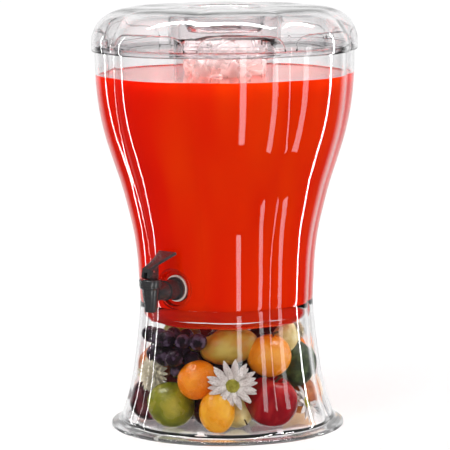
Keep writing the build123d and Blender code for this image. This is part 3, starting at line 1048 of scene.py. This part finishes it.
# kind, angle round from the viewer, distance from the centre line, height, radius, lean and its direction;
# the first ten are arranged, the rest settle round them
fruitBowl = {
    "arranged": [("lime", -50, 85, 32, 26.5, 60, -60), ("lemon", -7.5, 92, 28, 20.5, 176, 0),
                 ("pear", 10, 66, 24, 18, 100, 20), ("apple", 38.5, 80, 37, 32, 16, 60),
                 ("mandarin", -25, 81, 65, 24, 48, -84), ("tangelo", 39, 77, 90, 25.5, 12, 60),
                 ("mango", 2, 58, 101, 21.5, 97, -82), ("pear", 60, 78, 108, 15, 20, 90),
                 ("avocado", 77, 81, 74, 24, 25, 200), ("apricot", 85, 86, 34, 22, 60, 30)],
    "loose": [("plum", -88, 84, 29, 24, 40, 10), ("lemon", 112, 84, 30, 22, 80, 30),
              ("apple", 143, 80, 36, 30, 15, 120), ("lime", 176, 86, 30, 24, 60, 200),
              ("mandarin", 206, 86, 29, 24, 30, 210), ("apple", 238, 80, 35, 29, 20, 240),
              ("mandarin", 108, 80, 84, 23, 30, 110), ("avocado", 143, 78, 92, 23, 70, 160),
              ("lemon", 172, 80, 88, 21, 80, 100), ("apple", 205, 76, 92, 26, 20, 200),
              ("lime", 238, 80, 88, 23, 60, 250), ("apricot", 268, 80, 84, 21, 40, 270),
              ("plum", -60, 44, 40, 23, 50, 0), ("plum", 20, 36, 32, 25, 50, 70),
              ("plum", 80, 40, 52, 24, 30, 10),
              ("plum", 160, 40, 34, 26, 50, 70), ("plum", 230, 40, 60, 26, 50, 70),
              ("plum", 60, 30, 96, 22, 20, 0),
              ("plum", -20, 30, 66, 24, 60, 40), ("plum", 170, 34, 98, 23, 50, 70),
              ("plum", -40, 62, 24, 19, 50, 70),
              ("plum", 14, 50, 70, 20, 50, 70), ("apricot", 262, 86, 30, 20, 20, 10)],
}
grapeShape = {"long": 1.1, "nose": 0.0, "dimple": 0.05, "neck": 0, "ribs": 0}
# angle round from the viewer, distance from the centre line and height of each grape
grapeBunches = {
    "front": {"grapes": [(-61, 93, 117), (-50, 90, 113), (-63, 90, 103), (-52, 90, 97), (-42, 86, 101),
                         (-44, 84, 85), (-38, 78, 112), (-32, 74, 121), (-34, 72, 103), (-72, 84, 116),
                         (-30, 70, 112), (-46, 72, 119), (-50, 66, 106), (-74, 80, 104), (-28, 60, 98),
                         (-60, 70, 100), (-66, 76, 120), (-24, 66, 122), (-40, 62, 92)],
              "radius": 10.2, "seed": 3},
    "back": {"grapes": [(190, 92, 58), (198, 92, 64), (182, 90, 66), (191, 90, 74), (200, 88, 80),
                        (184, 86, 60), (194, 80, 66), (188, 80, 78)],
             "radius": 8.8, "seed": 5},
}


def makeGrapes(name, bunch):
    source = fruitBody("grape", grapeShape, bunch["radius"], 1)
    keepSkin(source, 1 / (bunch["radius"] * mm))
    balls = [{"spot": facing(angle) * distance + Vector((0, 0, height)), "radius": bunch["radius"],
              "held": False} for angle, distance, height in bunch["grapes"]]
    settle(balls, plateTop, 125, 40)
    piece = grown(name, pointTree, [ball["spot"] * mm for ball in balls], Piece=source, Tumble=1.0,
                  Smallest=0.86, Largest=1.0, Seed=bunch["seed"], Material=grapeSkin)
    bpy.data.objects.remove(source)
    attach(piece, "base")
    return [dict(ball, held=True) for ball in balls]


def makeFruitBowl(bowl, bunches):
    balls = []
    for name, bunch in bunches.items():
        balls += makeGrapes("grapes_" + name, bunch)
    first = len(balls)
    entries = bowl["arranged"] + bowl["loose"]
    for index, (kind, angle, distance, height, radius, lean, towards) in enumerate(entries):
        spot = facing(angle) * distance + Vector((0, 0, height))
        balls.append({"spot": spot, "radius": radius, "held": index < len(bowl["arranged"])})
    settle(balls, plateTop, 124)
    for index, (kind, angle, distance, height, radius, lean, towards) in enumerate(entries):
        spot = balls[first + index]["spot"] * mm
        makeFruit(f"fruit_{kind}_{index}", kind, radius, spot, lean, towards, index * 3.7)


def petal(name, length, width, droop, curl):
    # a thin closed blade along +X, narrow where it starts and blunt at its tip
    rings = []
    stations = 9
    for station in range(stations):
        share = station / (stations - 1)
        half = width / 2 * (0.22 + 0.78 * math.sin(math.pi * min(1, 0.12 + share * 0.9)) ** 0.8)
        half *= 1 if share < 0.9 else 0.62
        thick = 0.35 * (1 - 0.6 * share)
        ring = []
        for corner in range(8):
            turn = math.tau * corner / 8
            across = half * math.cos(turn)
            rise = thick * math.sin(turn) + curl * (across / width * 2) ** 2 - droop * share ** 2
            ring.append(Vector((length * share, across, rise)) * mm)
        rings.append(ring)
    return keepSkin(ringSolid(name, rings), 60)


# layers: petals, length, width, lift in degrees, droop and the radius that they start from
flowerKinds = {
    "daisy": {"layers": [(14, 22, 7.6, 4, 3.5, 5.5), (12, 20.5, 7.2, 15, 3.0, 5.0),
                         (8, 17, 5.8, 27, 2.0, 4.6)],
              "disc": 7.8, "petals": petalWhite},
    "mum": {"layers": [(20, 20, 6.4, -12, 2.0, 3.0), (20, 20, 6.4, 6, 1.0, 3.0), (18, 19, 6.2, 24, 0.5, 2.6),
                       (16, 17, 6.0, 42, -1.0, 2.2), (13, 14, 5.6, 58, -2.5, 1.8),
                       (9, 11, 5.0, 74, -2.5, 1.2)],
            "disc": 3.0, "petals": petalCream},
}
# kind, angle, distance, height, the way it looks (angle and rise), size
flowers = [("daisy", 3.5, 96.5, 62, 0, 4, 1.12), ("mum", -67, 93, 66, -58, 8, 1.05),
           ("daisy", 71, 97, 28, 66, 22, 0.92), ("mum", 84, 84, 112, 84, 30, 0.6),
           ("daisy", 126, 96, 62, 126, 4, 0.9), ("mum", 158, 92, 58, 158, 5, 0.8),
           ("daisy", 222, 96, 60, 222, 4, 0.95), ("mum", 254, 92, 58, 254, 8, 0.8)]


def makeFlower(name, kind, angle, distance, height, lookAngle, rise, size, seed):
    shape = flowerKinds[kind]
    parts = []
    for layer, (count, length, width, lift, droop, start) in enumerate(shape["layers"]):
        blade = petal("blade", length, width, droop, 0.9)
        parts.append(grown("layer", ringTree, Piece=blade, Count=count, Radius=start * mm,
                           First=layer * 0.37 + seed,
                           Lift=math.radians(lift), Spread=math.radians(7), Smallest=0.84, Largest=1.02,
                           Seed=seed * 10 + layer, Material=shape["petals"]))
        bpy.data.objects.remove(blade)
    disc = shape["disc"]
    dome = [(disc, -1.0), (disc, 0.6), (disc * 0.82, 2.0), (disc * 0.5, 2.9), (disc * 0.2, 3.2)]
    parts.append(madeOf(keepSkin(ringSolid("dome", turnedRings(dome, 24)), 60), floretGreen))
    bud = keepSkin(ringSolid("bud", turnedRings([(0.3, -0.6), (0.62, 0), (0.5, 0.5), (0.2, 0.8)], 6)), 60)
    buds = 90 if kind == "daisy" else 24
    golden = math.pi * (3 - math.sqrt(5))
    spots = []
    for index in range(buds):
        reach = disc * 0.96 * math.sqrt((index + 0.5) / buds)
        dip = 3.2 - 2.6 * (reach / disc) ** 2
        spots.append(Vector((reach * math.cos(index * golden), reach * math.sin(index * golden), dip)) * mm)
    parts.append(grown("florets", pointTree, spots, Piece=bud, Tumble=0.03, Smallest=0.8, Largest=1.2,
                       Seed=seed,
                       Material=floretGreen))
    bpy.data.objects.remove(bud)
    piece = joined(name, parts)
    level = math.radians(rise)
    look = facing(lookAngle) * math.cos(level) + Vector((0, 0, math.sin(level)))
    spot = (facing(angle) * distance + Vector((0, 0, height))) * mm
    piece.data.transform(Matrix.Translation(spot) @ look.to_track_quat("Z", "Y").to_matrix().to_4x4()
                         @ Matrix.Scale(size, 4))
    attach(piece, "base")


makeFruitBowl(fruitBowl, grapeBunches)
print("fruit done")
for index, (kind, angle, distance, height, lookAngle, rise, size) in enumerate(flowers):
    makeFlower(f"flower_{kind}_{index}", kind, angle, distance, height, lookAngle, rise, size, index + 1)
print("flowers done")

iceShape = {"size": 25.0, "edge": 5.0, "ring": 37.0, "perRing": 7, "lowest": 184.0, "highest": 438.0,
            "layer": 18.0,
            "stray": 3.0, "seed": 11, "paintedPinkFull": 0.405, "plain": 0.452}


def makeIceMaterial():
    material, nodes, links, shader, output = newMaterial("ice")
    place = nodes.new("ShaderNodeTexCoord")
    parts = nodes.new("ShaderNodeSeparateXYZ")
    links.new(place.outputs["Object"], parts.inputs[0])
    # below the drink's level the ice is painted pink, painted light that stands in for the red drink round
    # it; it stays on the cubes when the tube is lifted out
    depth = nodes.new("ShaderNodeMapRange")
    depth.inputs["From Min"].default_value = iceShape["paintedPinkFull"]
    depth.inputs["From Max"].default_value = iceShape["plain"]
    links.new(parts.outputs[2], depth.inputs[0])
    rampNode(nodes, links, depth.outputs[0],
             [(0.0, paint(232, 196, 186)), (0.4, paint(232, 212, 208)), (1.0, paint(232, 228, 228))],
             shader.inputs["Base Color"])
    frost = noiseNode(nodes, links, 70, 4)
    rampNode(nodes, links, frost.outputs["Fac"], [(0.35, grey(0.12)), (0.7, grey(0.45))],
             shader.inputs["Roughness"])
    shader.inputs["Transmission Weight"].default_value = 0.6
    shader.inputs["IOR"].default_value = 1.31
    bumpNode(nodes, links, shader, frost.outputs["Fac"], 0.5, 0.002)
    passRays(nodes, links, "Is Shadow Ray", shader, output)
    return material


def makeIce(shape):
    work = bmesh.new()
    bmesh.ops.create_cube(work, size=shape["size"] * mm)
    bmesh.ops.bevel(work, geom=work.edges[:], offset=shape["edge"] * mm, segments=3, affect="EDGES",
                    profile=0.6)
    for point in work.verts:
        point.co *= 1 + 0.08 * noise.noise(point.co * 90)
    for face in work.faces:
        face.smooth = True
    cube = meshObject("cube", work)
    draw = random.Random(shape["seed"])
    spots = []
    height = shape["lowest"]
    layer = 0
    while height <= shape["highest"]:
        for index in range(shape["perRing"] + 1):
            turn = math.tau * index / shape["perRing"] + layer * 0.5
            reach = shape["ring"] if index < shape["perRing"] else 0
            stray = Vector([draw.uniform(-1, 1) for axis in range(3)]) * shape["stray"]
            spots.append((Vector((reach * math.cos(turn), reach * math.sin(turn), height)) + stray) * mm)
        height += shape["layer"]
        layer += 1
    piece = grown("ice_cubes", pointTree, spots, Piece=cube, Tumble=1.0, Smallest=0.85, Largest=1.05,
                  Seed=shape["seed"], Material=makeIceMaterial())
    bpy.data.objects.remove(cube)
    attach(piece, "ice_core")


makeIce(iceShape)
print("ice done")

studio = {
    "distance": 3.284, "height": 0.683, "aim": 0.2345, "roll": -0.45, "shift": 0.0013, "lens": 226.7,
    # reflected strips: angle round from the camera, distance, bottom, top, width, brightness
    "strips": [(104, 2.2, -2.2, 1.4, 0.14, 26), (-118, 2.2, -1.6, 1.2, 0.075, 18),
               (15.5, 2.2, -1.1, 0.27, 0.32, 6),
               (60, 2.2, -1.1, 0.62, 0.30, 5)],
    "bar": {"height": 2.4, "forward": -0.1, "length": 3.4, "depth": 0.34, "brightness": 34},
    "key": {"angle": -35, "distance": 2.2, "height": 1.9, "size": 1.0, "brightness": 3.2},
    "ambient": 1.0, "backdrop": 1.0, "behind": 0.84, "gloom": 0.05, "floor": 8,
}


def aimed(obj, target):
    obj.rotation_euler = (target - obj.location).to_track_quat("-Z", "Y").to_euler()


def addArea(name, place, target, width, height, brightness):
    light = bpy.data.lights.new(name, "AREA")
    light.shape = "RECTANGLE"
    light.size = width
    light.size_y = height
    light.energy = brightness * math.pi * width * height
    lamp = newObject(name, light)
    lamp.location = place
    aimed(lamp, target)
    lamp.visible_camera = False
    lamp.visible_transmission = False
    return lamp


def makeWorld(settings):
    # an even white surround; what shines sees a dark room with a white backdrop behind the display
    world = bpy.data.worlds.new("studio")
    scene.world = world
    world.use_nodes = True
    nodes = world.node_tree.nodes
    links = world.node_tree.links
    background = nodes["Background"]
    ray = nodes.new("ShaderNodeLightPath")
    place = nodes.new("ShaderNodeTexCoord")
    along = nodes.new("ShaderNodeVectorMath")
    along.operation = "DOT_PRODUCT"
    along.inputs[1].default_value = -facing(0)
    links.new(place.outputs["Generated"], along.inputs[0])
    room = rampNode(nodes, links, along.outputs["Value"],
                    [(settings["behind"] - 0.15, grey(settings["gloom"])), (settings["behind"], grey(1.0))])
    shone = nodes.new("ShaderNodeMix")
    shone.data_type = "RGBA"
    even = nodes.new("ShaderNodeMix")
    even.data_type = "RGBA"
    links.new(ray.outputs["Glossy Depth"], shone.inputs[0])
    shone.inputs[6].default_value = (*grey(settings["backdrop"]), 1)
    links.new(room.outputs[0], shone.inputs[7])
    links.new(ray.outputs["Diffuse Depth"], even.inputs[0])
    links.new(shone.outputs[2], even.inputs[6])
    even.inputs[7].default_value = (*grey(settings["ambient"]), 1)
    links.new(even.outputs[2], background.inputs["Color"])
    world.cycles.sampling_method = "NONE"


def makeStudio(settings):
    camera = newObject("camera", bpy.data.cameras.new("camera"))
    camera.location = facing(0) * settings["distance"] + Vector((0, 0, settings["height"]))
    aimed(camera, Vector((0, 0, settings["aim"])) - facing(90) * settings["shift"])
    roll = Matrix.Rotation(math.radians(settings["roll"]), 3, "Z")
    camera.rotation_euler = (camera.rotation_euler.to_matrix() @ roll).to_euler()
    camera.data.lens = settings["lens"]
    camera.data.clip_end = 30
    scene.camera = camera
    for index, (angle, distance, low, high, width, brightness) in enumerate(settings["strips"]):
        middle = Vector((0, 0, (low + high) / 2))
        strip = addArea(f"strip{index}", facing(angle) * distance + middle, middle, width, high - low,
                        brightness)
        strip.visible_diffuse = False
    bar = settings["bar"]
    above = facing(0) * bar["forward"] + Vector((0, 0, bar["height"]))
    overhead = addArea("bar", above, above - Vector((0, 0, 1)), bar["length"], bar["depth"],
                       bar["brightness"])
    overhead.rotation_euler = (0, 0, viewTurn)
    overhead.visible_diffuse = False
    key = settings["key"]
    place = facing(key["angle"]) * key["distance"] + Vector((0, 0, key["height"]))
    addArea("key", place, Vector((0, 0, 0.1)), key["size"], key["size"], key["brightness"])
    makeWorld(settings)
    reach = settings["floor"]
    floor = newPiece("floor", [(-reach, -reach, 0), (reach, -reach, 0), (reach, reach, 0),
                               (-reach, reach, 0)],
                     [(0, 1, 2, 3)])
    cover, nodes, links, shader, output = newMaterial("floorPaint")
    shader.inputs["Base Color"].default_value = (0.97, 0.97, 0.97, 1)
    shader.inputs["Roughness"].default_value = 0.9
    shader.inputs["Specular IOR Level"].default_value = 0
    shader.inputs["Emission Color"].default_value = (1, 1, 1, 1)
    shader.inputs["Emission Strength"].default_value = 0.07
    passRays(nodes, links, "Glossy Depth", shader, output)      # the floor isn't reflected in the plastic
    floor.data.materials.append(cover)
    floor.visible_glossy = False
    scene.view_settings.view_transform = "Standard"
    scene.cycles.transmission_bounces = 20
    scene.cycles.max_bounces = 24
    scene.cycles.transparent_max_bounces = 24


makeStudio(studio)
